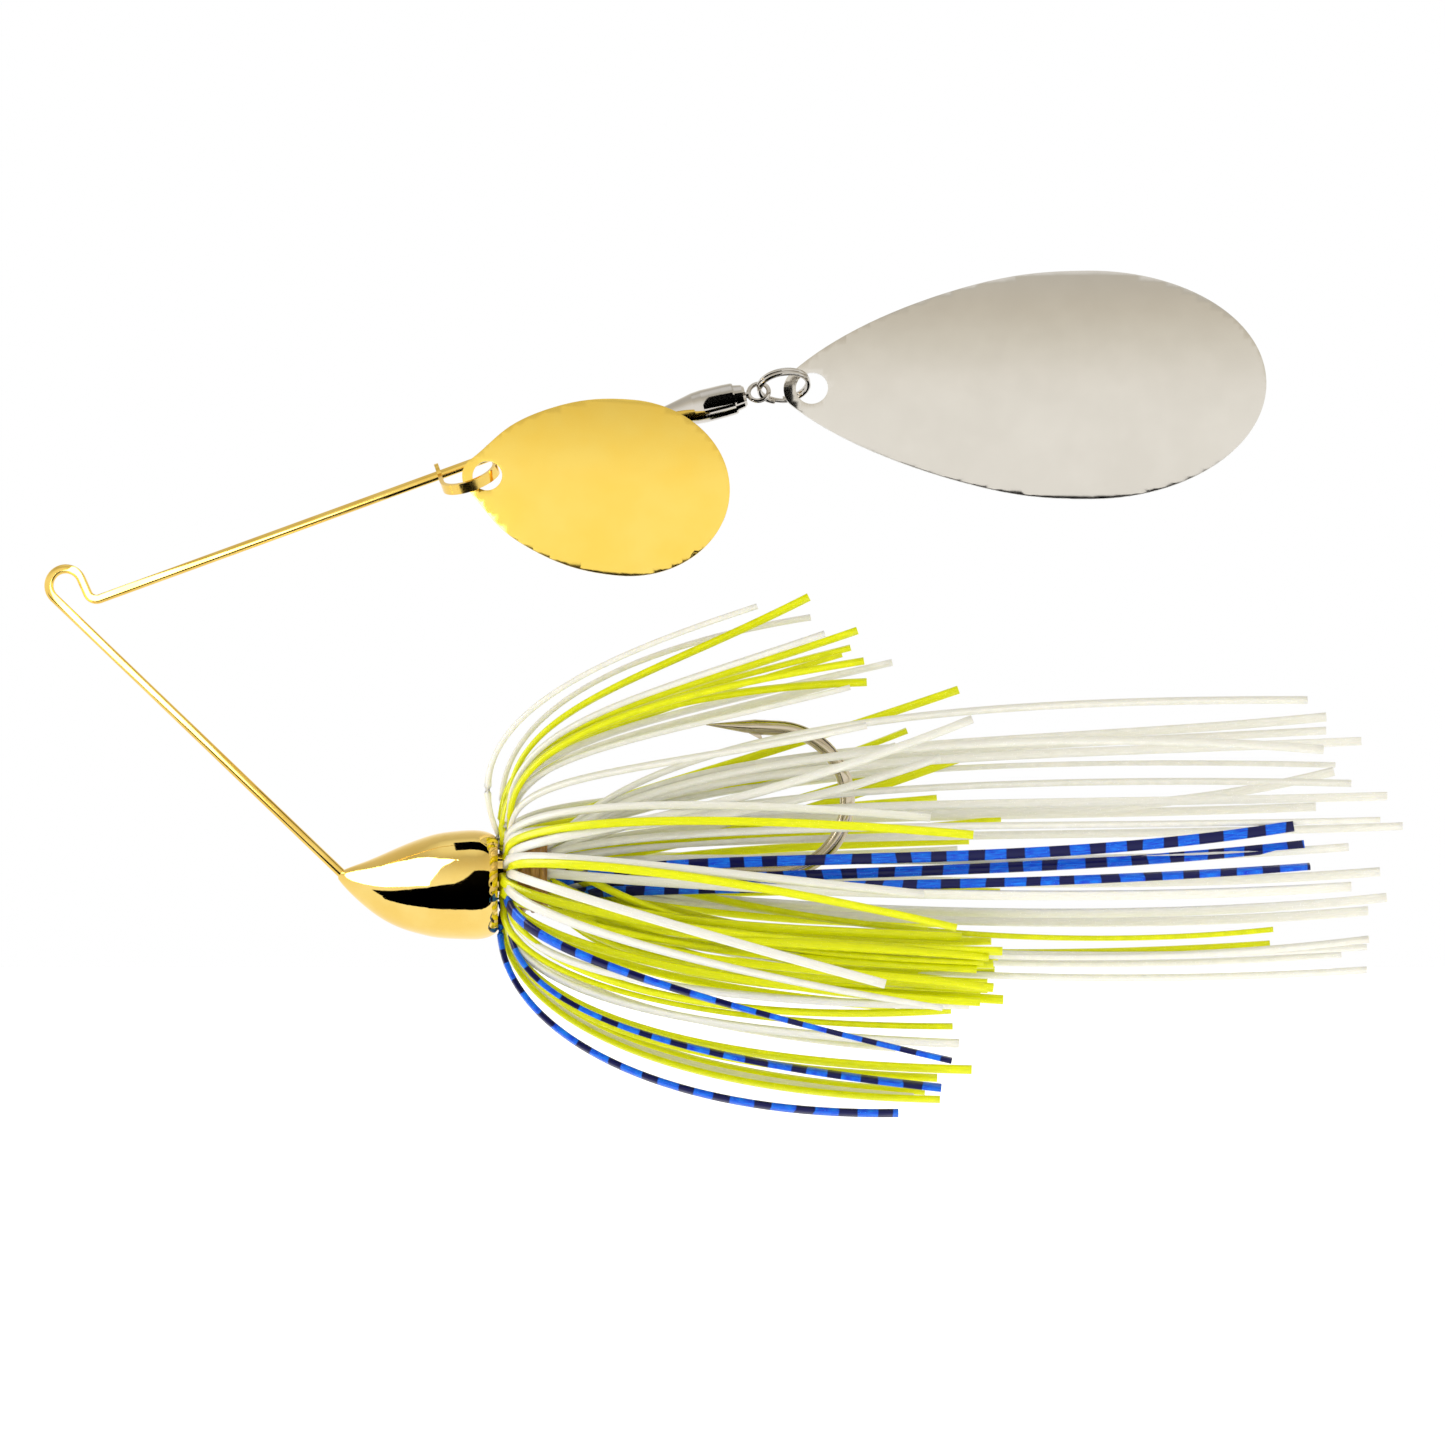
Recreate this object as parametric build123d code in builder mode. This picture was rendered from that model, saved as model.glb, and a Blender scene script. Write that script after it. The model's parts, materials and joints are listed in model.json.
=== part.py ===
from build123d import *
from math import cos, radians, sin, sqrt
import os

# A double-bladed spinnerbait in its swimming position, in millimetres.
# The wire lies in the XZ plane. The origin is the centre of the line tie bend,
# +X runs back towards the tails of the skirt and +Z is up.

# ---- driving dimensions ----

# formed wire
wire_diameter = 0.889
line_tie_radius = 1.6
lower_arm_angle = -43.8
lower_arm_length = 37.8
tie_leg_angle = -66
tie_leg_length = 1.55
kink_radius = 0.9
upper_arm_angle = 20
upper_arm_length = 51.0
wire_eye_radius = 1.5
wire_eye_sweep = 290

# the wire's end cast into the head, in X and in height above the hook's shank
tail_drop = (1.1, -1.05)
tail_step_x = 30.4
tail_rise_x = 32.3
tail_end_x = 36.6
tail_over_shank = 1.4
tail_bend_radius = 0.85

# hook
hook_wire_diameter = 1.44
shank_height = -27.27
hook_bend_radius = 6.87
hook_bend_x = 67.4
hook_eye_x = 31.4
hook_eye_radius = 1.7
hook_eye_wire_radius = 0.6
point_length = 6.9
point_taper = 4.6
point_rise = 2.8
point_tip_radius = 0.06
barb_length = 1.3
barb_height = 0.55
barb_depth = 0.35
barb_thickness = 0.4

# head, as (X, height, radius) of round sections from its nose to its rear
head_sections = [
    (25.9, -27.6, 0.3),
    (26.5, -27.8, 0.85),
    (28.2, -28.3, 2.0),
    (30.2, -28.62, 3.15),
    (32.2, -28.64, 4.05),
    (34.2, -28.55, 4.7),
    (36.2, -28.47, 5.07),
    (38.2, -28.42, 5.2),
    (40.0, -28.42, 5.05),
    (40.8, -28.42, 4.65),
    (41.1, -28.42, 4.3),
]
neck_radius = 1.85
neck_start_x = 38.0
neck_end_x = 48.5
neck_chamfer = 0.4

# skirt collar
collar_x = 43.0
collar_length = 2.8
collar_inner_radius = 3.15
collar_outer_radius = 3.6
collar_rib = 0.25
collar_rib_count = 3

# skirt strands
strand_width = 0.8
strand_thickness = 0.4
layer_radius = {"inner": 2.2, "outer": 2.8}
fold_front = {"inner": 41.8, "outer": 42.45}
fold_radius = {"inner": 4.2, "outer": 4.9}
strand_exit_x = 46.6
strand_lift_x = 52.0
strand_spread_x = 62.0
trail_droop = (24.0, 1.2)
bend_share = 0.45

# clevis, measured along the upper arm from the kink
clevis_front = 34.4
clevis_rear = 39.7
clevis_tilt = 20
clevis_straight = 3.5
clevis_strip = 1.0
clevis_thickness = 0.4
clevis_ear_radius = 1.15

# beads on the upper arm
bead_diameter = 3.8
front_bead_at = 42.75
rear_bead_at = 46.7

# fit of every piece that turns on a wire
running_clearance = 0.07

# small blade, lying beside the wire on the -Y side
front_hole = (40.15, 10.34)
front_blade_y = -5.0
front_blade_angle = -4.7
front_blade_roll = 6
front_hole_radius = 1.4

# large blade
rear_hole = (70.9, 18.75)
rear_blade_angle = 0.9
rear_blade_roll = 9
rear_hole_radius = 1.53

blade_thickness = 0.5

# swivel, measured along its axis from the centre of the wire's eye
swivel_angle = 14.2
swivel_eye_wire = 0.45
swivel_gap = 0.02
front_eye_at = 1.62
front_eye_hole = 0.72
front_rivet = (5.1, 5.5)
front_rivet_radius = 0.5
barrel_profile = [
    (4.1, 0.62),
    (6.1, 1.02),
    (8.3, 1.5),
    (9.2, 1.58),
    (11.2, 1.56),
    (12.2, 1.5),
    (12.35, 1.42),
]
barrel_bore = 1.0
bore_start = 9.4
throat_start = 8.6
throat_end = 5.1
throat_radius = 0.62
cap_end = 13.35
cap_radius = 1.27
cap_crown = 0.25
rear_eye_at = 14.62
rear_eye_hole = 0.74
stem_radius = 0.3
flange_thickness = 0.45
bearing_radius = 0.62
ball_diameter = 0.5
ball_count = 7
ball_at = 11.33
flange_radius = 0.9

# split ring
ring_at = 17.07
ring_outer_radius = 2.55
ring_wire_radius = 0.2
ring_pitch = 0.36
ring_lean = 10
ring_roll = 57
ring_slot = (0.15, 1.2, 0.34)
ring_slot_offset = 0.27

os.makedirs("parts", exist_ok=True)


def finish(builder, name):
    """Labels a finished piece and writes it to its own file."""
    builder.part.label = name
    export_step(builder.part, f"parts/{name}.step")


def heading(angle):
    """The unit vector in the XZ plane at an angle above +X."""
    return Vector(cos(radians(angle)), 0, sin(radians(angle)))


# ---- wire frame ----
# One wire: inside the head it steps up through the hook's eye, then runs up the
# lower arm, round the line tie, back through the kink and along the upper arm
# to a rolled eye.

wire_radius = wire_diameter / 2
tie_start = Vector(0, 0, 0) + heading(lower_arm_angle - 90) * line_tie_radius
head_entry = tie_start + heading(lower_arm_angle) * lower_arm_length

with BuildLine(Plane.XZ) as wire_tail:
    tail_low = (head_entry.X + tail_drop[0], head_entry.Z + tail_drop[1])
    Polyline(
        (tie_start.X, tie_start.Z),
        tail_low,
        (tail_step_x, tail_low[1]),
        (tail_rise_x, shank_height + tail_over_shank),
        (tail_end_x, shank_height + tail_over_shank),
    )
    fillet(wire_tail.vertices().sort_by(Axis.X)[1:4], tail_bend_radius)

with BuildLine(Plane.XZ) as wire_top:
    tie_sweep = (lower_arm_angle - 90 + 360) - (tie_leg_angle + 90)
    tie = CenterArc((0, 0), line_tie_radius, tie_leg_angle + 90, tie_sweep)
    leg = PolarLine(tie @ 0, tie_leg_length, tie_leg_angle)
    kink_sweep = upper_arm_angle - tie_leg_angle
    kink = JernArc(leg @ 1, leg % 1, kink_radius, kink_sweep)
    arm = PolarLine(kink @ 1, upper_arm_length, upper_arm_angle)
    JernArc(arm @ 1, arm % 1, wire_eye_radius, -wire_eye_sweep)

with BuildPart() as wire_frame:
    with BuildSketch(Plane(origin=wire_tail.line @ 1, z_dir=wire_tail.line % 1)):
        Circle(wire_radius)
    sweep(path=wire_tail.line)
    with BuildSketch(Plane(origin=wire_top.line @ 0, z_dir=wire_top.line % 0)):
        Circle(wire_radius)
    sweep(path=wire_top.line)

arm_start = kink @ 1
wire_eye = arm_start + heading(upper_arm_angle) * upper_arm_length
wire_eye = wire_eye - heading(upper_arm_angle + 90) * wire_eye_radius


def along_arm(distance):
    """A plane square to the upper arm, a distance back from the kink."""
    origin = arm_start + heading(upper_arm_angle) * distance
    return Plane(origin=origin, x_dir=(0, 1, 0), z_dir=heading(upper_arm_angle))


# ---- hook ----

with BuildLine(Plane.XZ) as hook_line:
    shank = Line((hook_eye_x + hook_eye_radius, shank_height), (hook_bend_x, shank_height))
    bend = JernArc(shank @ 1, shank % 1, hook_bend_radius, 180 - point_rise)
    point_leg = PolarLine(bend @ 1, point_length - point_taper, 180 - point_rise)
    leg_heading = heading(180 - point_rise)

with BuildPart() as hook:
    with BuildSketch(Plane(origin=shank @ 0, z_dir=(1, 0, 0))):
        Circle(hook_wire_diameter / 2)
    sweep(path=hook_line.line)
    point_root = Plane(origin=point_leg @ 1, x_dir=(0, 1, 0), z_dir=leg_heading)
    with BuildSketch(point_root):
        Circle(hook_wire_diameter / 2)
    with BuildSketch(point_root.offset(point_taper)):
        Circle(point_tip_radius)
    loft()
    with Locations(Plane(origin=(hook_eye_x, 0, shank_height))):
        Torus(hook_eye_radius, hook_eye_wire_radius)
    barb_base = point_leg @ 0.9 + leg_heading.cross(Vector(0, 1, 0)) * (hook_wire_diameter / 2)
    with BuildSketch(Plane(origin=barb_base, x_dir=-leg_heading, z_dir=(0, 1, 0))):
        with BuildLine():
            Polyline(
                (barb_length / 2, barb_height),
                (-barb_length, -barb_depth),
                (barb_length / 4, -barb_depth),
                close=True,
            )
        make_face()
    extrude(amount=barb_thickness / 2, both=True)

# ---- head ----
# Cast round the wire's end and the hook's eye, with a neck for the skirt.

with BuildPart() as head:
    for section_x, section_z, section_radius in head_sections:
        with BuildSketch(Plane(origin=(section_x, 0, section_z), z_dir=(1, 0, 0))):
            Circle(section_radius)
    loft()
    with BuildSketch(Plane(origin=(neck_start_x, 0, shank_height), z_dir=(1, 0, 0))):
        Circle(neck_radius)
    extrude(amount=neck_end_x - neck_start_x)
    chamfer(head.faces().sort_by(Axis.X)[-1].edges(), neck_chamfer)
    add(wire_frame.part, mode=Mode.SUBTRACT)
    add(hook.part, mode=Mode.SUBTRACT)

finish(wire_frame, "wire_frame")
finish(hook, "hook")
finish(head, "head")

# ---- skirt collar ----
# A ribbed band that grips the strands on the neck.

collar_middle = collar_x + collar_length / 2
collar_wall = collar_outer_radius - collar_inner_radius

with BuildPart() as skirt_collar:
    with BuildSketch(Plane(origin=(0, 0, shank_height), x_dir=(1, 0, 0), z_dir=(0, -1, 0))):
        with Locations((collar_middle, collar_inner_radius + collar_wall / 2)):
            Rectangle(collar_length, collar_wall)
        with Locations((collar_middle, collar_outer_radius)):
            with GridLocations(collar_length / collar_rib_count, 1, collar_rib_count, 1):
                Circle(collar_rib)
    revolve(axis=Axis((0, 0, shank_height), (1, 0, 0)))

finish(skirt_collar, "skirt_collar")

# ---- skirt strands ----
# Each strand is a flat strip lying in a plane through the shank. From the collar one
# end trails back along the hook, and the other end folds forward and flares outside.
# Two layers pass under the collar, half a step apart round the shank.


def corner_radii(points):
    """The largest bend radius that each corner of a route has room for."""
    radii = []
    for before, corner, after in zip(points, points[1:], points[2:]):
        one = Vector(*corner) - Vector(*before)
        two = Vector(*after) - Vector(*corner)
        half_turn = radians(one.get_angle(two)) / 2
        room = bend_share * min(one.length, two.length)
        radii.append(room * cos(half_turn) / sin(half_turn))
    return radii


def strand(angle, layer, trail, flare, bulge):
    """One folded strand at an angle round the shank. trail and flare are its two end
    points (x, distance from the shank) and bulge is how far forward the fold stands."""
    root = layer_radius[layer]
    front = fold_front[layer]
    lifted = fold_radius[layer]
    outward = Vector(0, cos(radians(angle)), sin(radians(angle)))
    plane = Plane(
        origin=(0, 0, shank_height),
        x_dir=(1, 0, 0),
        z_dir=Vector(1, 0, 0).cross(outward),
    )
    points = [
        trail,
        (trail[0] - trail_droop[0], trail[1] - trail_droop[1]),
        (strand_spread_x, lifted + 0.35 * (trail[1] - lifted)),
        (strand_lift_x, lifted),
        (strand_exit_x, root),
        (front, root),
        (front - 0.1, lifted),
        (front - bulge, 0.42 * flare[1]),
        (front + 0.12 * (flare[0] - front), 0.74 * flare[1]),
        (front + 0.45 * (flare[0] - front), 0.95 * flare[1]),
        flare,
    ]
    with BuildPart() as one:
        with BuildSketch(plane):
            with BuildLine():
                FilletPolyline(*points, radius=corner_radii(points))
            trace(line_width=strand_thickness)
        extrude(amount=strand_width / 2, both=True)
    return one.part


def skirt_tab(name, strands):
    """A group of separate strands of one colour."""
    with BuildPart() as tab:
        for route in strands:
            add(strand(*route))
    finish(tab, name)


skirt_tab(
    "skirt_white_upper",
    [
        (60, "inner", (118, 15.5), (66, 28.5), 1.6),
        (120, "inner", (116, 13.5), (70, 27.0), 1.2),
        (45, "outer", (120, 12.5), (79, 22.5), 0.8),
        (150, "inner", (124, 9.0), (86, 17.0), 0.4),
        (15, "outer", (126.9, 8.0), (82, 15.0), 0.3),
    ],
)
skirt_tab(
    "skirt_chartreuse_upper",
    [
        (30, "inner", (112, 11.0), (76, 26.0), 1.0),
        (135, "outer", (110, 11.0), (75, 27.0), 1.0),
        (165, "outer", (108, 8.5), (84, 19.0), 0.4),
        (0, "inner", (104, 7.5), (88, 14.0), 0.2),
    ],
)
skirt_tab(
    "skirt_blue",
    [
        (180, "inner", (116, 6.0), (84, 16.5), 0.2),
        (-75, "outer", (117, 7.0), (79, 22.9), 1.2),
        (-30, "inner", (115, 6.5), (83, 20.0), 0.8),
    ],
)
skirt_tab(
    "skirt_white_lower",
    [
        (-15, "outer", (125, 8.0), (86, 16.0), 0.3),
        (-60, "inner", (122, 9.5), (85, 20.5), 0.8),
        (-120, "inner", (121, 9.0), (84, 20.0), 0.8),
        (-165, "outer", (125, 8.0), (86, 15.5), 0.3),
        (-90, "inner", (120, 10.0), (80, 21.5), 1.0),
    ],
)
skirt_tab(
    "skirt_chartreuse_lower",
    [
        (-45, "outer", (112, 9.0), (85, 21.0), 0.8),
        (-105, "outer", (110, 9.5), (84, 21.8), 1.0),
        (-135, "outer", (112, 9.0), (85, 20.5), 0.8),
        (-150, "inner", (106, 7.5), (86, 17.5), 0.4),
    ],
)

# ---- clevis ----
# A strip folded into a U whose two drilled ears stand on the wire. It hangs to the
# -Y side, tilted down, and the small blade rides on its bow.

clevis_middle = (clevis_front + clevis_rear) / 2
clevis_half_width = (clevis_rear - clevis_front) / 2
clevis_down = heading(upper_arm_angle + 90) * -sin(radians(clevis_tilt))
clevis_down = clevis_down - Vector(0, 1, 0) * cos(radians(clevis_tilt))
clevis_plane = Plane(
    origin=along_arm(clevis_middle).origin,
    x_dir=heading(upper_arm_angle),
    z_dir=heading(upper_arm_angle).cross(clevis_down),
)

with BuildPart() as front_clevis:
    with BuildSketch(clevis_plane):
        with BuildLine():
            leg_in = Line((-clevis_half_width, 0), (-clevis_half_width, clevis_straight))
            bow = JernArc(leg_in @ 1, leg_in % 1, clevis_half_width, -180)
            Line(bow @ 1, (clevis_half_width, 0))
        trace(line_width=clevis_thickness)
    extrude(amount=clevis_strip / 2, both=True)
    with BuildSketch(along_arm(clevis_front), along_arm(clevis_rear)):
        Circle(clevis_ear_radius)
    extrude(amount=clevis_thickness / 2, both=True)
    with BuildSketch(along_arm(clevis_middle)):
        Circle(wire_radius + running_clearance)
    extrude(amount=clevis_half_width + 1, both=True, mode=Mode.SUBTRACT)

finish(front_clevis, "front_clevis")

# ---- beads ----

for bead_name, bead_at in (("front_bead", front_bead_at), ("rear_bead", rear_bead_at)):
    with BuildPart(along_arm(bead_at)) as bead:
        Sphere(bead_diameter / 2)
        Hole(wire_radius + running_clearance)
    finish(bead, bead_name)


# ---- blades ----

def blade(name, hole_at, y, angle, roll, hole_radius, tip, sides, widest, end, dish):
    """A teardrop blade stamped from sheet and dished away from the wire.

    The outline lies in the blade's own plane, measured from its hole: a rounded tip
    (along, radius), a side through (along, half width) points, the widest point, and an
    elliptical end. dish is its radius of curvature along and across, y is where the
    middle of the sheet lies at the hole, and roll brings its lower edge forward."""
    dish_along, dish_across = dish
    middle = (end + tip[0]) / 2
    crown = dish_along - sqrt(dish_along**2 - middle**2) + blade_thickness / 2
    flat = Plane(
        origin=(hole_at[0], y, hole_at[1]),
        x_dir=heading(angle),
        z_dir=(0, -1, 0),
    )
    face = Plane(flat.location * Location((0, 0, 0), (-roll, 0, 0))).offset(crown)
    section = Plane(
        origin=face.from_local_coords((middle, 0, 0)),
        x_dir=face.y_dir,
        z_dir=face.x_dir,
    )
    pivot = face.from_local_coords((middle, 0, -dish_along))
    with BuildPart() as sheet:
        with BuildSketch(section):
            with BuildLine():
                outer = CenterArc((0, -dish_across), dish_across, 45, 90)
                inner = CenterArc((0, -dish_across), dish_across - blade_thickness, 45, 90)
                Line(outer @ 0, inner @ 0)
                Line(outer @ 1, inner @ 1)
            make_face()
        revolve(axis=Axis(pivot, face.y_dir))
        with BuildSketch(face):
            with BuildLine():
                start = (tip[0], 0)
                Line(start, (widest[0], 0))
                nose = CenterArc((tip[0] + tip[1], 0), tip[1], 180, -50)
                side = Spline(nose @ 1, *sides, widest, tangents=(nose % 1, (1, 0)))
                reach = end - widest[0]
                EllipticalCenterArc((widest[0], 0), reach, widest[1], 0, arc_size=90)
                Line((widest[0], 0), (end, 0))
            make_face()
            mirror(about=Plane.XZ)
        extrude(amount=14, both=True, mode=Mode.INTERSECT)
        with Locations(face):
            Hole(hole_radius)
    finish(sheet, name)


blade(
    "front_blade",
    front_hole,
    front_blade_y,
    front_blade_angle,
    front_blade_roll,
    front_hole_radius,
    tip=(-2.4, 1.9),
    sides=[(1.4, 4.6), (5.5, 6.95)],
    widest=(13.2, 8.4),
    end=23.0,
    dish=(60, 30),
)
blade(
    "rear_blade",
    rear_hole,
    0,
    rear_blade_angle,
    rear_blade_roll,
    rear_hole_radius,
    tip=(-2.7, 2.0),
    sides=[(3.6, 5.2), (11.2, 8.4), (18.8, 10.42)],
    widest=(26.5, 11.0),
    end=43.2,
    dish=(120, 32),
)

# ---- swivel ----
# A ball bearing swivel: its front eye is fixed in the barrel, and its rear eye turns
# on a ring of balls held between the eye's flange and the end cap.

swivel_axis = Plane(origin=wire_eye, x_dir=heading(swivel_angle), z_dir=(0, -1, 0))
swivel_line = Axis(wire_eye, heading(swivel_angle))


def turned(name, profile):
    """A piece turned about the swivel's axis from (along, radius) points."""
    with BuildPart() as piece:
        with BuildSketch(swivel_axis):
            with BuildLine():
                Polyline(*profile, close=True)
            make_face()
        revolve(axis=swivel_line)
    finish(piece, name)


def eye(name, at, hole, rivet, rivet_radius, normal):
    """A wire eye on the swivel's axis, with a stem that ends in a round rivet between
    two places along the axis."""
    centre = swivel_axis.from_local_coords((at, 0, 0))
    side = 1 if rivet[0] > at else -1
    root = at + side * (hole + swivel_eye_wire / 2)
    with BuildPart() as piece:
        with Locations(Plane(origin=centre, x_dir=heading(swivel_angle), z_dir=normal)):
            Torus(hole + swivel_eye_wire / 2, swivel_eye_wire / 2)
        with BuildSketch(swivel_axis):
            with BuildLine():
                Polyline(
                    (root, 0),
                    (root, stem_radius),
                    (rivet[0], stem_radius),
                    (rivet[0], rivet_radius),
                    (rivet[1], rivet_radius),
                    (rivet[1], 0),
                    close=True,
                )
            make_face()
        revolve(axis=swivel_line)
    finish(piece, name)


turned(
    "swivel_body",
    [
        (barrel_profile[0][0], stem_radius),
        *barrel_profile,
        (barrel_profile[-1][0], barrel_bore),
        (bore_start, barrel_bore),
        (throat_start, throat_radius),
        (throat_end, throat_radius),
        (throat_end, stem_radius),
    ],
)

flange_rear = ball_at - ball_diameter / 2 - swivel_gap
cap_face = ball_at + ball_diameter / 2 + swivel_gap
cap_bore = stem_radius + running_clearance
barrel_seam = barrel_profile[-1][0]

turned(
    "swivel_cap",
    [
        (cap_face, cap_bore),
        (cap_face, barrel_bore),
        (barrel_seam, barrel_bore),
        (barrel_seam, cap_radius),
        (cap_end - cap_crown, cap_radius - 0.16),
        (cap_end, cap_radius - 0.4),
        (cap_end, cap_bore),
    ],
)

swivel_up = heading(swivel_angle + 90)
ring_tangent = Vector(0, cos(radians(90 - ring_roll)), 0) - swivel_up * sin(radians(90 - ring_roll))

flange = (flange_rear, flange_rear - flange_thickness)

eye("swivel_front_eye", front_eye_at, front_eye_hole, front_rivet, front_rivet_radius, swivel_up)
eye("swivel_rear_eye", rear_eye_at, rear_eye_hole, flange, flange_radius, ring_tangent)

with BuildPart() as swivel_balls:
    ball_plane = Plane(
        origin=swivel_axis.from_local_coords((ball_at, 0, 0)),
        x_dir=(0, 1, 0),
        z_dir=heading(swivel_angle),
    )
    with Locations(ball_plane):
        with PolarLocations(bearing_radius, ball_count):
            Sphere(ball_diameter / 2)

finish(swivel_balls, "swivel_balls")

# ---- split ring ----
# Two coils of wire side by side, with the upper coil's end cut back.

ring_centre = swivel_axis.from_local_coords((ring_at, 0, 0))
ring_x = heading(ring_lean)
ring_up = heading(ring_lean + 90)
ring_normal = Vector(0, cos(radians(ring_roll)), 0) + ring_up * sin(radians(ring_roll))
ring_plane = Plane(origin=ring_centre, x_dir=ring_x, z_dir=ring_normal)
ring_section = Plane(origin=ring_centre, x_dir=ring_x, z_dir=ring_normal.cross(ring_x))

with BuildPart() as split_ring:
    with BuildSketch(ring_section):
        with Locations((ring_outer_radius - ring_wire_radius, 0)):
            with GridLocations(1, ring_pitch, 1, 2):
                Circle(ring_wire_radius)
    revolve(axis=Axis(ring_centre, ring_normal))
    with Locations(ring_plane.location * Location((0, ring_outer_radius, ring_slot_offset))):
        Box(*ring_slot, mode=Mode.SUBTRACT)

finish(split_ring, "split_ring")
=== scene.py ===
import json
import math
import random

import bpy
from mathutils import Matrix, Vector


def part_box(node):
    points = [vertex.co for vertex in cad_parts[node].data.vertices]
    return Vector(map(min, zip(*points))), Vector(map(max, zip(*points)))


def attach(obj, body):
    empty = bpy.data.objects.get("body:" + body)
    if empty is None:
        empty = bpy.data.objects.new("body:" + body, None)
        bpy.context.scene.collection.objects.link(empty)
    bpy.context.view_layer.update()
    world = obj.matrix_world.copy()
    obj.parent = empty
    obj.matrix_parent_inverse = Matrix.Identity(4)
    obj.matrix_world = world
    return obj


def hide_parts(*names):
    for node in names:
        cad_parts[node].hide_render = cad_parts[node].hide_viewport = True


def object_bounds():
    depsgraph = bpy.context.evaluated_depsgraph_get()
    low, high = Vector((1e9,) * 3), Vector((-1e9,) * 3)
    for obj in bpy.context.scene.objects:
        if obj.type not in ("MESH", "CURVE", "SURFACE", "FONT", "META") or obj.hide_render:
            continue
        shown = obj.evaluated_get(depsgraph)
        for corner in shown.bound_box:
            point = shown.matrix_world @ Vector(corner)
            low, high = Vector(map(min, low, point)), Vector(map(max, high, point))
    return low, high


# The spinnerbait's looks: plated metals, a pearl, chartreuse and barred blue skirt of
# separate silicone strips, and a two-coil split ring. Lengths are in metres.

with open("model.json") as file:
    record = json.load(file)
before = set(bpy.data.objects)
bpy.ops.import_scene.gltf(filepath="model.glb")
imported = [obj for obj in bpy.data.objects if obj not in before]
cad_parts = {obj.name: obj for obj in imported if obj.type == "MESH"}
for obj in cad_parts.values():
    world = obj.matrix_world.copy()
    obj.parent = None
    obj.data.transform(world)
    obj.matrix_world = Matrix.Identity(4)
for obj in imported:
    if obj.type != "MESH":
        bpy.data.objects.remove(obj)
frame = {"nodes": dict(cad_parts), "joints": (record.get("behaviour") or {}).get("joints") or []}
cad_box = [list(corner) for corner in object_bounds()]
joints = {joint["name"]: joint for joint in frame["joints"]}
mm = 0.001

# ---- places read from the frame ----

collar_low, collar_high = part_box("skirt_collar")
collar = (collar_low + collar_high) / 2
collar_front = Vector((collar_low.x, collar.y, collar.z))
collar_back = Vector((collar_high.x, collar.y, collar.z))
ring_left = Vector(joints["split_ring_swing"]["pos_m"])
ring_right = Vector(joints["rear_blade_swing"]["pos_m"])
ring_across = Vector(joints["rear_blade_swing"]["axis"]).normalized()
box_low, box_high = (Vector(corner) for corner in cad_box)
middle = (box_low + box_high) / 2

# ---- skirt dimensions ----

strip_width = 0.8 * mm
strip_thickness = 0.5 * mm
fold_height = 1.5 * mm
neck_layers = (2.25 * mm, 2.55 * mm, 2.85 * mm)
fold_forward = (1.35 * mm, 0.95 * mm, 0.6 * mm)
flare_steps, fold_steps, grip_steps, trail_steps = 40, 8, 5, 46
width_spread = (0.92, 1.1)
flare_twist, trail_twist = 0.8, 1.6
flare_twist_end, trail_twist_start = 0.4, 0.5
streak_shift = 0.217

# ---- blade edge ----

blade_edge_width = 0.12 * mm
blade_edge_segments = 2
blade_edge_angle = math.radians(50)
weld_distance = 0.001 * mm

# ---- sizes of the surface textures, per metre ----

cloud_scale = 260
smudge_scale = 420
scratch_scale = 1500
wave_scale = 170
dust_scale = 900
fleck_scale = 3800
streak_scale = 60
streak_stretch = (14, 140, 1)


# ---- material helpers ----


def material(name, colour, metallic=0.0, roughness=0.3):
    """A Principled material, and the nodes that its detail is added to."""
    made = bpy.data.materials.new(name)
    made.use_nodes = True
    nodes = made.node_tree.nodes
    shader = nodes["Principled BSDF"]
    shader.inputs["Base Color"].default_value = (*colour, 1)
    shader.inputs["Metallic"].default_value = metallic
    shader.inputs["Roughness"].default_value = roughness
    return made, nodes, made.node_tree.links, shader


def noise(nodes, links, scale, stretch=(1, 1, 1), detail=3.0, coordinates="Object"):
    """A noise texture in object space, stretched along the axes by a mapping."""
    place = nodes.new("ShaderNodeTexCoord")
    mapping = nodes.new("ShaderNodeMapping")
    mapping.inputs["Scale"].default_value = stretch
    texture = nodes.new("ShaderNodeTexNoise")
    texture.inputs["Scale"].default_value = scale
    texture.inputs["Detail"].default_value = detail
    links.new(place.outputs[coordinates], mapping.inputs["Vector"])
    links.new(mapping.outputs["Vector"], texture.inputs["Vector"])
    return texture


def ramp(nodes, links, source, stops):
    """A colour ramp through (position, colour) stops."""
    node = nodes.new("ShaderNodeValToRGB")
    band = node.color_ramp
    while len(band.elements) < len(stops):
        band.elements.new(0.5)
    for element, (position, colour) in zip(band.elements, stops):
        element.position = position
        element.color = (*colour, 1)
    links.new(source, node.inputs["Fac"])
    return node


def spread(nodes, links, source, low, high):
    """Maps a texture's middle range onto low to high."""
    node = nodes.new("ShaderNodeMapRange")
    node.inputs["From Min"].default_value = 0.3
    node.inputs["From Max"].default_value = 0.7
    node.inputs["To Min"].default_value = low
    node.inputs["To Max"].default_value = high
    links.new(source, node.inputs["Value"])
    return node.outputs["Result"]


def bump(nodes, links, source, distance, shader, before=None):
    """Raises the surface by a texture, on top of an earlier bump if there is one."""
    node = nodes.new("ShaderNodeBump")
    node.inputs["Strength"].default_value = 1.0
    node.inputs["Distance"].default_value = distance
    links.new(source, node.inputs["Height"])
    if before:
        links.new(before.outputs["Normal"], node.inputs["Normal"])
    links.new(node.outputs["Normal"], shader.inputs["Normal"])
    return node


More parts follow.
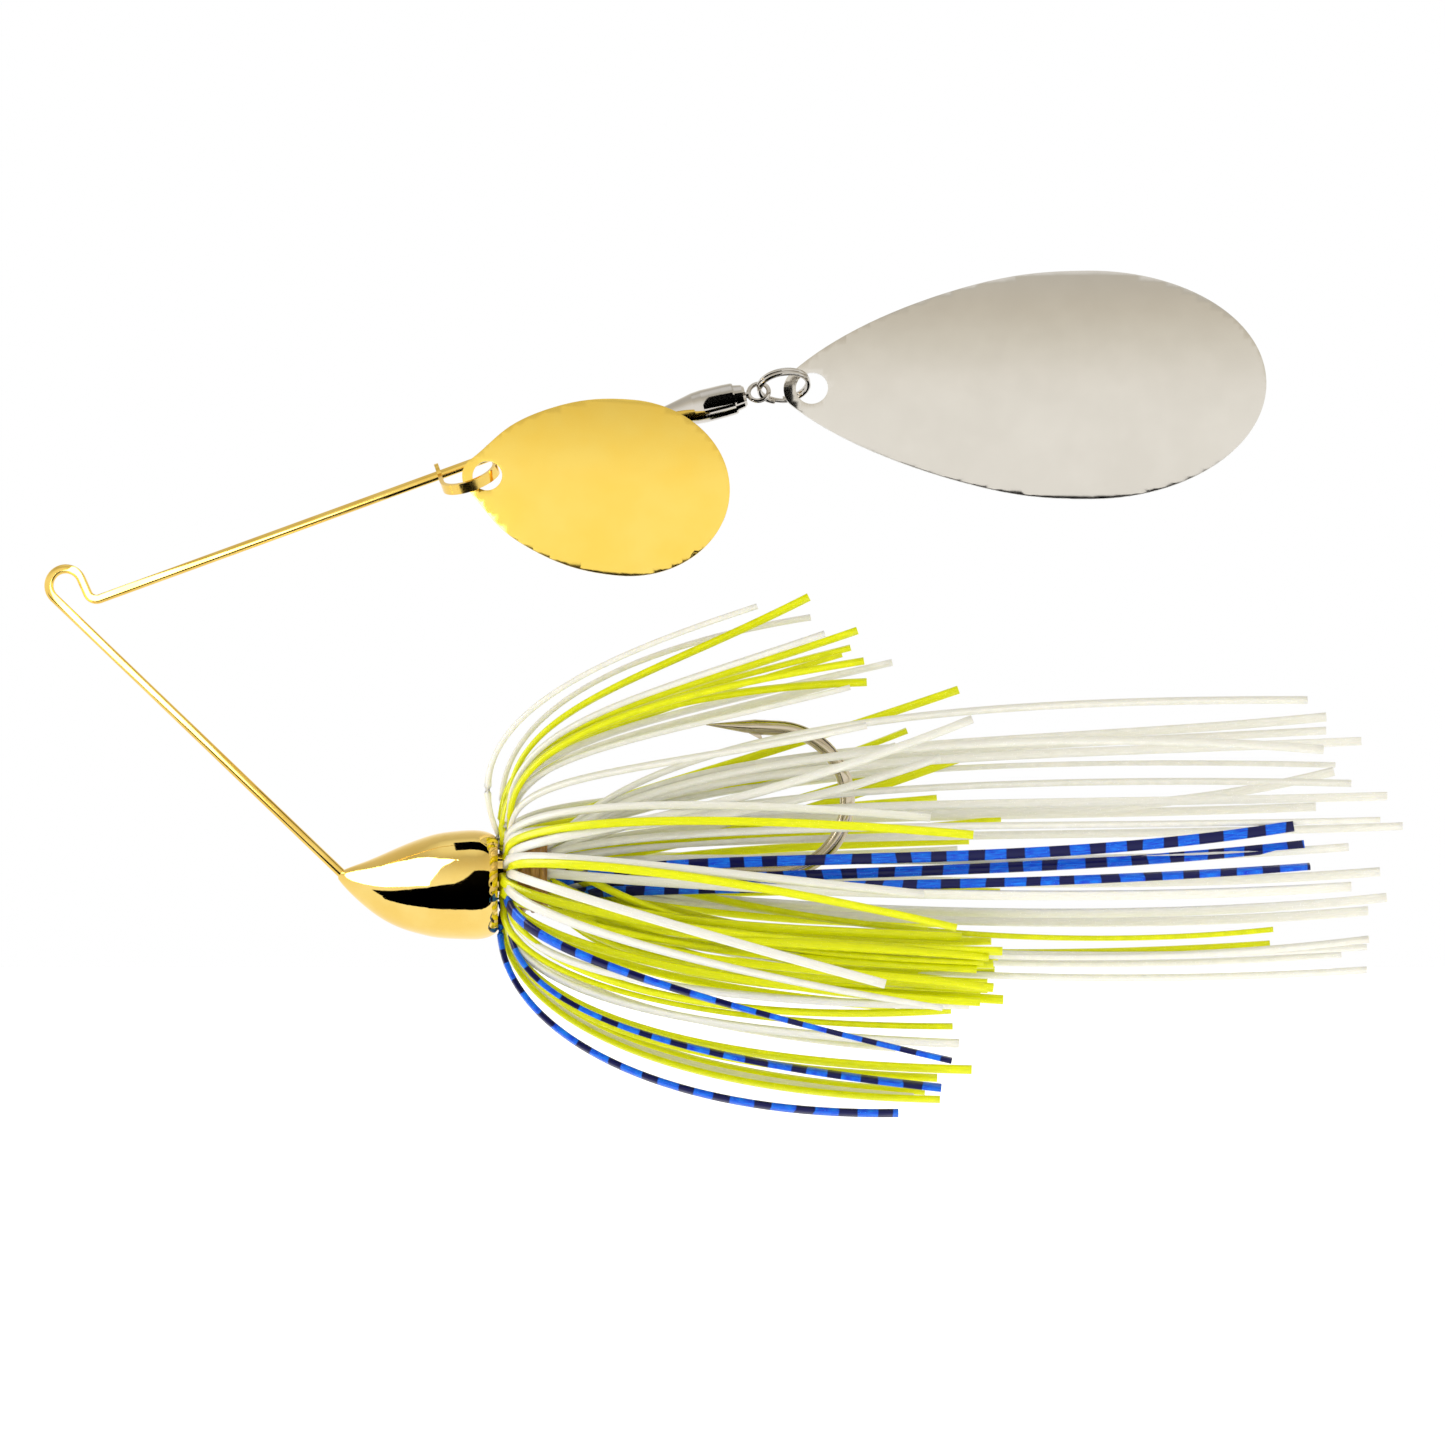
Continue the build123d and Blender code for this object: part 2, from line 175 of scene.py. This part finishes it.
def plated(name, colour, tint, gloss, grain=None, waviness=0.0, scratch=0.4e-6):
    """Plated, polished metal: two close tints, uneven gloss, fine wiping scratches along
    grain, and the slow waviness of a casting or a stamping."""
    made, nodes, links, shader = material(name, colour, 1.0, sum(gloss) / 2)
    clouds = noise(nodes, links, cloud_scale, detail=4)
    tints = ramp(nodes, links, clouds.outputs["Fac"], [(0.35, colour), (0.65, tint)])
    links.new(tints.outputs["Color"], shader.inputs["Base Color"])
    smudge = noise(nodes, links, smudge_scale, detail=5)
    links.new(spread(nodes, links, smudge.outputs["Fac"], *gloss), shader.inputs["Roughness"])
    lines = noise(nodes, links, scratch_scale, grain or (1, 1, 1), detail=4)
    fine = bump(nodes, links, lines.outputs["Fac"], scratch, shader)
    if waviness:
        slow = noise(nodes, links, wave_scale, detail=1)
        bump(nodes, links, slow.outputs["Fac"], waviness, shader, fine)
    return made


# ---- metals ----

gold_wire = plated("gold_wire", (0.93, 0.66, 0.17), (0.84, 0.55, 0.11), (0.07, 0.16))
gold_head = plated(
    "gold_head", (0.95, 0.70, 0.22), (0.90, 0.62, 0.16), (0.03, 0.07), waviness=30e-6
)
gold_blade = plated(
    "gold_blade", (1.0, 0.72, 0.15), (1.0, 0.69, 0.12), (0.16, 0.21), grain=(0.06, 1, 1)
)
nickel_blade = plated(
    "nickel_blade", (0.73, 0.69, 0.625), (0.70, 0.66, 0.595), (0.16, 0.21), grain=(0.06, 1, 1)
)
nickel_swivel = plated("nickel_swivel", (0.66, 0.62, 0.57), (0.56, 0.53, 0.48), (0.05, 0.13))
nickel_hook = plated(
    "nickel_hook", (0.66, 0.58, 0.45), (0.52, 0.44, 0.32), (0.10, 0.20), grain=(0.08, 1, 1)
)
bearing_steel = plated("bearing_steel", (0.7, 0.7, 0.71), (0.62, 0.62, 0.63), (0.05, 0.1))
brass_bead = plated("brass_bead", (0.86, 0.60, 0.16), (0.74, 0.48, 0.10), (0.08, 0.2))


def rubber_collar():
    """Amber rubber with a moulded, slightly dusty skin."""
    made, nodes, links, shader = material("collar_rubber", (0.30, 0.13, 0.02), 0.0, 0.4)
    dust = noise(nodes, links, dust_scale, detail=4)
    tones = [(0.3, (0.22, 0.09, 0.012)), (0.7, (0.46, 0.24, 0.05))]
    shade = ramp(nodes, links, dust.outputs["Fac"], tones)
    links.new(shade.outputs["Color"], shader.inputs["Base Color"])
    shader.inputs["Coat Weight"].default_value = 0.3
    bump(nodes, links, dust.outputs["Fac"], 8e-6, shader)
    return made


# ---- silicone ----


def silicone(name, colour, deep, fleck, glow, gloss=0.3):
    """Translucent silicone strip: body colour with streaks along its length, glitter
    flecks, and a soft waxy surface. glow is how far light goes into it, in metres."""
    made, nodes, links, shader = material(name, colour, 0.0, gloss)
    streaks = noise(nodes, links, streak_scale, streak_stretch, detail=3, coordinates="UV")
    body = ramp(nodes, links, streaks.outputs["Fac"], [(0.3, deep), (0.7, colour)])
    flecks = nodes.new("ShaderNodeTexVoronoi")
    flecks.inputs["Scale"].default_value = fleck_scale
    where = nodes.new("ShaderNodeTexCoord")
    links.new(where.outputs["Object"], flecks.inputs["Vector"])
    spots = ramp(nodes, links, flecks.outputs["Distance"], [(0.10, (1, 1, 1)), (0.17, (0, 0, 0))])
    mix = nodes.new("ShaderNodeMix")
    mix.data_type = "RGBA"
    mix.inputs["B"].default_value = (*fleck, 1)
    links.new(spots.outputs["Color"], mix.inputs["Factor"])
    links.new(body.outputs["Color"], mix.inputs["A"])
    links.new(mix.outputs["Result"], shader.inputs["Base Color"])
    shader.inputs["Subsurface Weight"].default_value = 0.35
    shader.inputs["Subsurface Radius"].default_value = (1.0, 0.9, 0.6)
    shader.inputs["Subsurface Scale"].default_value = glow
    shader.inputs["Specular IOR Level"].default_value = 0.28
    shader.inputs["Coat Weight"].default_value = 0.08
    shader.inputs["Coat Roughness"].default_value = 0.15
    bump(nodes, links, streaks.outputs["Fac"], 12e-6, shader)
    return made, nodes, links, shader, mix


def barred_blue():
    """Metallic blue silicone crossed by uneven dark bars."""
    blue = (0.002, 0.21, 0.85)
    made, nodes, links, shader, body = silicone(
        "blue_silicone", blue, (0.002, 0.03, 0.60), (0.03, 0.30, 0.95), 0.2e-3
    )
    place = nodes.new("ShaderNodeTexCoord")
    mapping = nodes.new("ShaderNodeMapping")
    mapping.inputs["Scale"].default_value = (1000, 1000, 1)
    links.new(place.outputs["UV"], mapping.inputs["Vector"])
    bars = nodes.new("ShaderNodeTexWave")
    bars.wave_type = "BANDS"
    bars.bands_direction = "X"
    bars.inputs["Scale"].default_value = 0.083
    bars.inputs["Distortion"].default_value = 4.6
    bars.inputs["Detail"].default_value = 2.5
    bars.inputs["Detail Scale"].default_value = 0.9
    links.new(mapping.outputs["Vector"], bars.inputs["Vector"])
    dark = ramp(nodes, links, bars.outputs["Fac"], [(0.36, (1, 1, 1)), (0.44, (0, 0, 0))])
    paint = nodes.new("ShaderNodeMix")
    paint.data_type = "RGBA"
    paint.inputs["B"].default_value = (0.002, 0.003, 0.07, 1)
    links.new(dark.outputs["Color"], paint.inputs["Factor"])
    links.new(body.outputs["Result"], paint.inputs["A"])
    links.new(paint.outputs["Result"], shader.inputs["Base Color"])
    return made


white_silicone = silicone(
    "white_silicone", (0.83, 0.815, 0.755), (0.74, 0.735, 0.665), (0.95, 0.94, 0.90), 0.5e-3
)[0]
chartreuse_silicone = silicone(
    "chartreuse_silicone", (0.80, 0.82, 0.001), (0.66, 0.70, 0.001), (0.90, 0.92, 0.12), 0.5e-3
)[0]
blue_silicone = barred_blue()

# ---- materials of the CAD nodes ----

finishes = {
    "wire_frame": gold_wire,
    "front_clevis": gold_wire,
    "head": gold_head,
    "hook": nickel_hook,
    "front_blade": gold_blade,
    "rear_blade": nickel_blade,
    "front_bead": brass_bead,
    "rear_bead": brass_bead,
    "swivel_body": nickel_swivel,
    "swivel_cap": nickel_swivel,
    "swivel_front_eye": nickel_swivel,
    "swivel_rear_eye": nickel_swivel,
    "split_ring": nickel_swivel,
    "swivel_balls": bearing_steel,
    "skirt_collar": rubber_collar(),
}
for node, finish in finishes.items():
    piece = frame["nodes"][node]
    piece.data.materials.clear()
    piece.data.materials.append(finish)

# The blades' stamped edges are tumbled round. The weld joins the faces that meet there,
# and the bevel rounds the joint.
for node in ("front_blade", "rear_blade"):
    joined = frame["nodes"][node].modifiers.new("joined_faces", "WELD")
    joined.merge_threshold = weld_distance
    edge = frame["nodes"][node].modifiers.new("tumbled_edge", "BEVEL")
    edge.width = blade_edge_width
    edge.segments = blade_edge_segments
    edge.limit_method = "ANGLE"
    edge.angle_limit = blade_edge_angle
    edge.harden_normals = True


# ---- mesh helpers ----


def make_piece(name, verts, faces, finish, uvs=None, sharp_ends=()):
    """A mesh object in the row frame, smooth but for the listed faces."""
    mesh = bpy.data.meshes.new(name)
    mesh.from_pydata([tuple(v) for v in verts], [], faces)
    if uvs:
        layer = mesh.uv_layers.new(name="UVMap")
        for loop in mesh.loops:
            layer.data[loop.index].uv = uvs[loop.vertex_index]
    mesh.materials.append(finish)
    flat = set(sharp_ends)
    for polygon in mesh.polygons:
        polygon.use_smooth = polygon.index not in flat
    piece = bpy.data.objects.new(name, mesh)
    bpy.context.scene.collection.objects.link(piece)
    return piece


def bezier(start, start_pull, end_pull, end, steps):
    """Points along a cubic curve."""
    points = []
    for step in range(steps + 1):
        t = step / steps
        s = 1 - t
        points.append(
            start * s**3 + start_pull * 3 * s * s * t + end_pull * 3 * s * t * t + end * t**3
        )
    return points


def section(width, thickness):
    """A flat strip's rounded outline as (across, through) pairs."""
    half, deep, corner = width / 2, thickness / 2, thickness * 0.22
    outline = []
    for across, through in ((1, -1), (1, 1), (-1, 1), (-1, -1)):
        outline.append((across * half, through * (deep - corner)))
        outline.append((across * (half - corner), through * deep))
    order = (0, 2, 3, 5, 4, 6, 7, 1)
    return [outline[i] for i in order]


def strip(points, flat_side, width, thickness, twist):
    """Verts, faces and UVs of a flat strip along points. flat_side gives the direction
    its broad face looks in at each point, and twist turns it, in radians."""
    outline = section(width, thickness)
    count = len(outline)
    verts, faces, uvs = [], [], []
    length = 0.0
    for i, point in enumerate(points):
        before = points[max(i - 1, 0)]
        after = points[min(i + 1, len(points) - 1)]
        along = (after - before).normalized()
        face_way = flat_side(point)
        face_way = (face_way - along * face_way.dot(along)).normalized()
        face_way = Matrix.Rotation(twist(i / (len(points) - 1)), 3, along) @ face_way
        across = along.cross(face_way)
        if i:
            length += (point - points[i - 1]).length
        for a, b in outline:
            verts.append(point + across * a + face_way * b)
            uvs.append((length, a))
    for i in range(len(points) - 1):
        for k in range(count):
            low, high = i * count, (i + 1) * count
            faces.append((low + k, low + (k + 1) % count, high + (k + 1) % count, high + k))
    faces.append(tuple(reversed(range(count))))
    last = (len(points) - 1) * count
    faces.append(tuple(last + k for k in range(count)))
    return verts, faces, uvs


# ---- skirt ----
# One row is one strip, folded in the middle: its place round the neck in degrees (90 is
# up and 180 faces the camera), how far its fold bulges forward, then the tip it flares
# to and the tip it trails to, each as (back from the collar, side, up from the shank)
# in millimetres with the slope it ends at in degrees.

white_strips = [
    (92, 6.0, (22.7, -2, 25.3, 18), (74.8, -4, 16.4, 0)),
    (80, 3.2, (27.8, 4, 24.3, 9), (76.9, 3, 14.8, 4)),
    (100, 1.6, (29.1, -4, 22.7, 19), (76.2, -7, 11.7, -5)),
    (75, 1.0, (35.6, 5, 20.0, 13), (78.0, 8, 10.2, -1)),
    (105, 0.8, (31.5, -3, 17.6, 14), (77.8, 6, 9.6, 13)),
    (60, 0.8, (30.0, 11, 18.0, 15), (82.4, -3, 7.3, 3)),
    (45, 0.5, (38.0, 12, 10.0, 8), (76.2, 9, 6.2, 4)),
    (135, 0.6, (39.0, -10, 5.3, -5), (81.5, -8, 5.1, 3)),
    (160, 0.2, (43.0, -8, 14.6, 22), (84.2, 3, 4.4, 2)),
    (15, 0.3, (42.0, 14, 2.0, 3), (78.6, -6, 2.5, 4)),
    (165, 0.4, (38.3, -13, -1.9, -6), (82.3, 8, 0.0, 6)),
    (180, 0.3, (34.7, -14, -10.3, -15), (78.7, -9, -1.2, 5)),
    (-20, 0.3, (40.0, 13, -9.0, -4), (82.3, -4, -2.3, 5)),
    (-165, 0.3, (40.1, -12, -12.6, -9), (81.0, 5, -3.7, 6)),
    (-130, 0.6, (42.7, -8, -12.4, 0), (80.5, -6, -6.2, 6)),
    (-50, 0.6, (36.0, 9, -17.0, -5), (80.7, 2, -7.1, 4)),
    (-110, 0.8, (41.8, -5, -16.1, -2), (78.6, 8, -7.9, 6)),
    (-80, 1.2, (37.6, 3, -21.4, -4), (80.5, -2, -9.2, 4)),
    (40, 0.2, (36.0, 8, 12.0, 17), (77.0, 5, 13.5, 2)),
    (140, 0.2, (40.0, -6, 11.0, 20), (79.0, -3, 8.5, 0)),
    (120, 0.4, (33.0, -8, 14.0, 12), (80.0, -2, 12.5, 3)),
]
chartreuse_strips = [
    (95, 2.0, (27.6, 0, 26.2, 27), (71.5, -5, -5.3, 7)),
    (85, 1.6, (32.2, -2, 23.0, 19), (45.0, 3, -6.5, 0)),
    (70, 1.4, (31.6, 3, 21.4, 14), (44.0, -7, -7.6, -2)),
    (110, 1.2, (32.8, -4, 20.1, 9), (45.6, -8, -7.3, -1)),
    (100, 0.8, (33.1, -1, 18.1, 2), (45.0, -5, -8.4, -2)),
    (60, 0.9, (30.8, 6, 20.8, 17), (45.2, -2, -9.3, -1)),
    (25, 0.2, (41.9, 4, 17.4, 19), (44.6, 1, -10.2, 0)),
    (0, 0.2, (45.9, 6, 12.3, 21), (44.0, 4, -11.4, -3)),
    (150, 0.4, (43.0, -12, 3.7, -5), (43.5, 7, -12.1, 0)),
    (172, 0.4, (41.4, -14, -5.0, -13), (46.0, 8, 5.0, 6)),
    (-170, 0.3, (45.8, -9, -7.3, -1), (42.0, -7, -6.0, -4)),
    (-150, 0.3, (43.7, -9, -12.1, -3), (44.0, -10, -10.6, -6)),
    (-135, 0.4, (41.0, -6, -12.9, 4), (46.0, 10, -2.0, 0)),
    (-120, 0.5, (41.2, -4, -14.5, 0), (43.0, 8, -6.0, -2)),
    (-105, 0.9, (43.0, -4, -18.6, -1), (45.0, -6, -10.8, -3)),
    (-95, 1.0, (39.8, 0, -19.5, -2), (71.5, 2, -6.9, 4)),
    (-85, 1.1, (40.1, 2, -21.6, -1), (44.0, 5, -8.0, 0)),
    (-70, 0.9, (38.7, 4, -20.9, -3), (46.0, -3, -12.0, -3)),
    (-160, 0.3, (45.0, -7, -8.7, 0), (43.4, -8, -9.0, -5)),
    (-155, 0.3, (45.5, -4, -8.0, -2), (44.5, -9, -7.8, -4)),
    (-30, 0.4, (36.0, 12, -13.0, -4), (43.0, 9, 3.0, 2)),
    (20, 0.4, (40.0, 14, 7.0, 5), (41.0, 11, -5.0, 0)),
    (35, 0.2, (37.0, 5, 13.5, 22), (44.0, -8, -8.4, -2)),
    (10, 0.2, (33.0, 7, 9.0, 18), (44.5, -4, -11.0, -2)),
]
blue_strips = [
    (-150, 0.2, (41.0, -10, -17.6, -13), (73.3, -8, 4.5, 8)),
    (-112, 1.2, (40.1, -5, -20.3, -6), (74.4, -6, 2.7, 5)),
    (-95, 2.2, (36.1, -1, -22.8, 1), (74.8, -9, 0.7, 3)),
]


def from_shank(tip):
    """A tip given back from the collar, to the side and up, in millimetres."""
    return collar_front + Vector(tip[:3]) * mm


def tip_heading(tip):
    """The direction that a strip ends in, from its slope in degrees."""
    slope = math.radians(tip[3])
    return Vector((math.cos(slope), 0, math.sin(slope)))


def away_from_shank(point):
    """The direction straight out from the shank at a point."""
    out = Vector((0, point.y - collar.y, point.z - collar.z))
    return out.normalized() if out.length > 1e-6 else Vector((0, 0, 1))


def strip_path(angle, bulge, flare, trail, layer, dice):
    """One strip's path: from its flared tip forward to the fold, under the collar and
    back to its trailing tip, with a little slackness of its own."""
    flare_tip, trail_tip = from_shank(flare), from_shank(trail)
    turn = math.radians(angle)
    out = Vector((0, math.cos(turn), math.sin(turn)))
    back = Vector((1, 0, 0))
    fold = collar_front - back * fold_forward[layer]
    root = fold + out * neck_layers[layer]
    lifted = root + out * fold_height - back * 0.1 * bulge * mm
    run = flare_tip.x - fold.x
    spread_out = (flare_tip - fold - back * run).length
    flared = bezier(
        flare_tip,
        flare_tip - tip_heading(flare) * 0.68 * run,
        lifted + out * 0.42 * spread_out - back * 0.8 * bulge * mm,
        lifted,
        flare_steps,
    )
    folded = bezier(
        lifted,
        lifted - out * 0.8 * fold_height,
        root - back * 0.8 * mm,
        root + back * 0.6 * mm,
        fold_steps,
    )
    under = collar_back + out * neck_layers[layer]
    gripped = bezier(folded[-1], folded[-1] + back * mm, under - back * mm, under, grip_steps)
    far = trail_tip.x - under.x
    aim = trail_tip - under - back * far
    sway = Vector((0, dice.uniform(-2.0, 2.0), dice.uniform(-1.0, 1.0))) * mm
    trailed = bezier(
        under,
        under + back * 0.14 * far + aim * 0.8 + out * 1.0 * mm,
        trail_tip - tip_heading(trail) * 0.42 * far + sway,
        trail_tip,
        trail_steps,
    )
    return flared + folded[1:] + gripped[1:] + trailed[1:]


def skirt_group(name, strips, finish, nodes, seed, wider=1.0):
    """All strips of one colour as one piece of separate closed solids. The seed sets
    each strip's own width, twist and slackness."""
    dice = random.Random(seed)
    verts, faces, uvs, ends = [], [], [], []
    for index, (angle, bulge, flare, trail) in enumerate(strips):
        path = strip_path(angle, bulge, flare, trail, (index + seed) % 3, dice)
        width = strip_width * wider * dice.uniform(*width_spread)
        turn = dice.uniform(-flare_twist, flare_twist)
        trail_turn = dice.uniform(-trail_twist, trail_twist)

        def twist(t):
            flared = turn * max(0, 1 - t / flare_twist_end)
            return flared + trail_turn * max(0, t - trail_twist_start) / trail_twist_start

        fresh = strip(path, away_from_shank, width, strip_thickness, twist)
        base = len(verts)
        verts.extend(fresh[0])
        faces.extend(tuple(base + v for v in face) for face in fresh[1])
        uvs.extend((u + index * streak_shift, v) for u, v in fresh[2])
        ends.extend((len(faces) - 1, len(faces) - 2))
    piece = make_piece(name, verts, faces, finish, uvs, ends)
    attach(piece, "frame")
    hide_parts(*nodes)


skirt_group(
    "white_skirt",
    white_strips,
    white_silicone,
    ("skirt_white_upper", "skirt_white_lower"),
    seed=3,
)
skirt_group(
    "chartreuse_skirt",
    chartreuse_strips,
    chartreuse_silicone,
    ("skirt_chartreuse_upper", "skirt_chartreuse_lower"),
    seed=5,
)
skirt_group(
    "blue_skirt",
    blue_strips,
    blue_silicone,
    ("skirt_blue",),
    seed=7,
    wider=1.2,
)

# ---- split ring ----
# Two turns of flattened wire lying side by side, with a crossover and two cut ends.

ring_turns = 1.94
ring_wire = 0.4 * mm
ring_start = math.radians(118)
ring_steps = 180
crossover_sharpness = 22
coil_shift = 0.47
coil_width, coil_thickness = 0.94, 1.05


def split_ring():
    """The visual ring, on the circle through the hinges of the rear eye and the blade."""
    centre = (ring_left + ring_right) / 2
    out = (ring_right - centre).normalized()
    radius = (ring_right - centre).length
    normal = out.cross(ring_across).normalized()
    side = normal.cross(out)
    points = []
    for step in range(ring_steps + 1):
        part = step / ring_steps
        angle = ring_start + 2 * math.pi * ring_turns * part
        shift = math.tanh((part - 0.5) * crossover_sharpness) * ring_wire * coil_shift
        round_centre = centre + out * math.cos(angle) * radius + side * math.sin(angle) * radius
        points.append(round_centre + normal * shift)
    verts, faces, uvs = strip(
        points,
        lambda point: point - centre,
        ring_wire * coil_width,
        ring_wire * coil_thickness,
        lambda t: 0.0,
    )
    cut_ends = (len(faces) - 1, len(faces) - 2)
    piece = make_piece("two_coil_ring", verts, faces, nickel_swivel, uvs, cut_ends)
    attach(piece, "ring")
    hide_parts("split_ring")


split_ring()

# ---- stage, light and camera ----

shot_width = 137.3 * mm
shot_centre = Vector((62.4 * mm, 0, -13.0 * mm))
camera_distance = 1.2
sensor = 36.0
floor_drop = 45 * mm
floor_reach = 3.0
blade_gap = 3 * mm
head_gap = 18 * mm


def studio():
    """A world that metals see as a soft studio: a pale table, a bright wall at eye level
    and a ceiling that greys with height."""
    world = bpy.data.worlds.new("studio")
    bpy.context.scene.world = world
    world.use_nodes = True
    nodes, links = world.node_tree.nodes, world.node_tree.links
    background = nodes["Background"]
    place = nodes.new("ShaderNodeTexCoord")
    split = nodes.new("ShaderNodeSeparateXYZ")
    links.new(place.outputs["Generated"], split.inputs["Vector"])
    height = nodes.new("ShaderNodeMapRange")
    height.inputs["From Min"].default_value = -1
    links.new(split.outputs["Z"], height.inputs["Value"])
    tones = [
        (0.0, (1.10, 1.10, 1.10)),
        (0.27, (1.06, 1.06, 1.05)),
        (0.60, (1.04, 1.04, 1.02)),
        (0.67, (1.00, 0.99, 0.96)),
        (0.76, (0.88, 0.86, 0.80)),
        (0.86, (0.72, 0.68, 0.60)),
        (0.94, (0.62, 0.60, 0.55)),
        (0.985, (0.9, 0.9, 0.9)),
    ]
    sky = ramp(nodes, links, height.outputs["Result"], tones)
    seen = nodes.new("ShaderNodeLightPath")
    mix = nodes.new("ShaderNodeMix")
    mix.data_type = "RGBA"
    mix.inputs["B"].default_value = (1, 1, 1, 1)
    links.new(sky.outputs["Color"], mix.inputs["A"])
    links.new(seen.outputs["Is Camera Ray"], mix.inputs["Factor"])
    links.new(mix.outputs["Result"], background.inputs["Color"])


def floor():
    """A pale floor well below the lure."""
    level = box_low.z - floor_drop
    square = ((-1, -1), (1, -1), (1, 1), (-1, 1))
    verts = [(x * floor_reach, y * floor_reach, level) for x, y in square]
    made, nodes, links, shader = material("pale_floor", (0.93, 0.93, 0.93), 0.0, 0.8)
    shader.inputs["Emission Color"].default_value = (1, 1, 1, 1)
    shader.inputs["Emission Strength"].default_value = 0.55
    piece = make_piece("floor", verts, [(0, 1, 2, 3)], made)
    piece.visible_glossy = False


def reflector(name, corners, colour=(0, 0, 0), strength=0.0):
    """A flat card that only the metals see, with the corners given in order."""
    made, nodes, links, shader = material(name, colour, 0.0, 0.9)
    shader.inputs["Specular IOR Level"].default_value = 0.0
    shader.inputs["Emission Color"].default_value = (*colour, 1)
    shader.inputs["Emission Strength"].default_value = strength
    piece = make_piece(name, corners, [tuple(range(len(corners)))], made)
    piece.visible_camera = False
    piece.visible_diffuse = False
    piece.visible_transmission = False
    piece.visible_shadow = False


def card(name, centre, across, up, colour=(0, 0, 0), strength=0.0):
    """A reflector with four square corners."""
    centre, across, up = Vector(centre), Vector(across) / 2, Vector(up) / 2
    corners = [
        centre - across - up,
        centre + across - up,
        centre + across + up,
        centre - across + up,
    ]
    reflector(name, corners, colour, strength)


def edge_card(name, node):
    """A dark card lying under a blade, for the thin dark line on its lower edge."""
    low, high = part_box(node)
    near, far, under = low.y - 1.5 * mm, high.y + 6 * mm, low.z - blade_gap
    left, right = low.x - 4 * mm, high.x + 4 * mm
    corners = [
        Vector((left, near, under)),
        Vector((right, near, under)),
        Vector((right, far, under)),
        Vector((left, far, under)),
    ]
    reflector(name, corners)


def lamp(name, place, size, power):
    """A square softbox that looks at the lure and doesn't show in the metals."""
    light = bpy.data.lights.new(name, "AREA")
    light.size = size
    light.energy = power
    holder = bpy.data.objects.new(name, light)
    holder.location = Vector(place)
    holder.rotation_euler = (middle - Vector(place)).to_track_quat("-Z", "Y").to_euler()
    holder.visible_glossy = False
    bpy.context.scene.collection.objects.link(holder)


def camera():
    """A long lens looking square at the side of the lure."""
    data = bpy.data.cameras.new("camera")
    data.sensor_width = sensor
    data.lens = sensor * camera_distance / shot_width
    data.clip_start = 0.01
    holder = bpy.data.objects.new("camera", data)
    holder.location = shot_centre - Vector((0, camera_distance, 0))
    holder.rotation_euler = (math.radians(90), 0, 0)
    bpy.context.scene.collection.objects.link(holder)
    bpy.context.scene.camera = holder


studio()
floor()
head_low, head_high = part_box("head")
head_middle = (head_low + head_high) / 2
cap_low, cap_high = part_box("swivel_cap")
cap_middle = (cap_low + cap_high) / 2
card(
    "table_edge_card",
    (middle.x, -200 * mm, -208 * mm),
    (900 * mm, 0, 0),
    (0, 0, 180 * mm),
)
# The head mirrors this card as a dark wedge that opens from the nose to the back. Its
# corners are (back, up) from the head's middle, in millimetres.
head_wedge = [
    (-39, -7),
    (-2, 1),
    (2, 9),
    (30, 12.5),
    (30, -14.5),
    (-4, -14.5),
    (-39, -10),
]
reflector(
    "head_dark_card",
    [head_middle + Vector((x * mm, -head_gap, z * mm)) for x, z in head_wedge],
)
card(
    "head_white_card",
    head_middle + Vector((-30 * mm, -22 * mm, 18 * mm)),
    (28 * mm, -28 * mm, 0),
    (20 * mm, 20 * mm, 34 * mm),
    (1, 1, 1),
    6.0,
)
card(
    "swivel_dark_card",
    cap_middle + Vector((0.6 * mm, -3.4 * mm, 0.4 * mm)),
    (7.6 * mm, 0, 0),
    (0, 0, 4.6 * mm),
)
edge_card("small_blade_edge_card", "front_blade")
edge_card("large_blade_edge_card", "rear_blade")
lamp("key_softbox", (-0.35, -0.45, 0.45), 0.35, 0.7)
lamp("fill_softbox", (0.5, -0.6, 0.15), 0.5, 0.3)
camera()
bpy.context.scene.view_settings.view_transform = "Standard"
